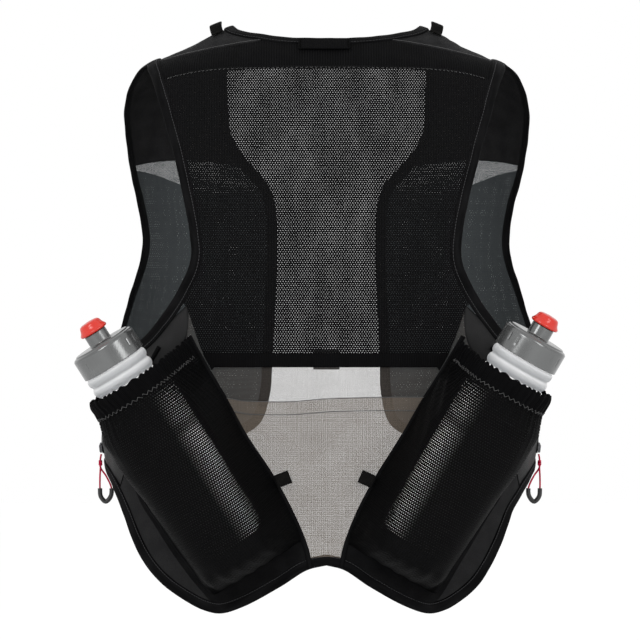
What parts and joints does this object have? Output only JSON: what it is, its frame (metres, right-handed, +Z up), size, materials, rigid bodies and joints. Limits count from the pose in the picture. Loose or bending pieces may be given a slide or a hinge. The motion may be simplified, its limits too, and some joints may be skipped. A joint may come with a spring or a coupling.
{
  "type": "running hydration vest",
  "caption": "Sleeveless running hydration vest in black mesh, with elastic-rimmed back holsters that hold squeeze bottles with screw caps and push-pull nozzles, and zipped side pockets.",
  "frame": {"origin": "on the middle plane of the body at the height of the shoulder tops, where the vest rests on the wearer", "axes": "+Z up, +Y the way the wearer faces, +X the right side of the wearer"},
  "size_m": [0.4386, 0.2956, 0.536],
  "materials": {
    "sheer_mesh": "sheer woven mesh",
    "pocket_mesh": "open mesh",
    "solid_cloth": "matte",
    "softshell": "smooth matte",
    "edge_tape": "ribbed matte",
    "webbing": "woven",
    "bottle_plastic": "translucent satin",
    "cap_plastic": "satin",
    "nozzle_rubber": "satin",
    "slider_metal": "dark satin",
    "pull_cord": "woven",
    "grip_rubber": "matte",
    "black_plastic": "satin"
  },
  "bodies": {
    "vest": {"back_panel": "sheer_mesh", "left_front_panel": "sheer_mesh", "right_front_panel": "sheer_mesh", "lumbar_band": "sheer_mesh", "lumbar_pocket": "sheer_mesh", "back_pocket": "pocket_mesh", "left_chest_pocket": "pocket_mesh", "right_chest_pocket": "pocket_mesh", "left_holster": "pocket_mesh", "right_holster": "pocket_mesh", "back_yoke": "solid_cloth", "pocket_hem": "solid_cloth", "tube_port": "solid_cloth", "left_strap_cover": "solid_cloth", "right_strap_cover": "solid_cloth", "left_side_panel": "softshell", "right_side_panel": "softshell", "left_side_flange": "softshell", "right_side_flange": "softshell", "neck_binding": "edge_tape", "hem_binding": "edge_tape", "left_armhole_binding": "edge_tape", "right_armhole_binding": "edge_tape", "left_front_binding": "edge_tape", "right_front_binding": "edge_tape", "left_pocket_elastic": "edge_tape", "right_pocket_elastic": "edge_tape", "left_holster_collar": "edge_tape", "right_holster_collar": "edge_tape", "left_tab_loop": "webbing", "right_tab_loop": "webbing", "left_shoulder_loop": "webbing", "right_shoulder_loop": "webbing", "left_sternum_strap": "webbing", "right_sternum_strap": "webbing", "left_bottle": "bottle_plastic", "right_bottle": "bottle_plastic", "left_slider": "slider_metal", "right_slider": "slider_metal", "left_pull_cord": "pull_cord", "right_pull_cord": "pull_cord", "left_knot": "pull_cord", "right_knot": "pull_cord", "left_grip": "grip_rubber", "right_grip": "grip_rubber", "sternum_clasp": "black_plastic", "left_zip": "black_plastic", "right_zip": "black_plastic"},
    "left_cap": {"left_cap": "cap_plastic"},
    "left_nozzle": {"left_nozzle": "nozzle_rubber"},
    "right_cap": {"right_cap": "cap_plastic"},
    "right_nozzle": {"right_nozzle": "nozzle_rubber"}
  },
  "joints": [
    {"name": "left_cap_turn", "type": "hinge", "parent": "vest", "child": "left_cap", "pos_m": [-0.20093, -0.13831, -0.28565], "axis": [-0.5331, -0.0698, 0.8432], "range_deg": [0, 360]},
    {"name": "left_nozzle_slide", "type": "slide", "parent": "left_cap", "child": "left_nozzle", "axis": [-0.5331, -0.0698, 0.8432], "range_m": [0, 0.006]},
    {"name": "right_cap_turn", "type": "hinge", "parent": "vest", "child": "right_cap", "pos_m": [0.18805, -0.13803, -0.28037], "axis": [0.5018, -0.0698, 0.8622], "range_deg": [0, 360]},
    {"name": "right_nozzle_slide", "type": "slide", "parent": "right_cap", "child": "right_nozzle", "axis": [0.5018, -0.0698, 0.8622], "range_m": [0, 0.006]}
  ]
}
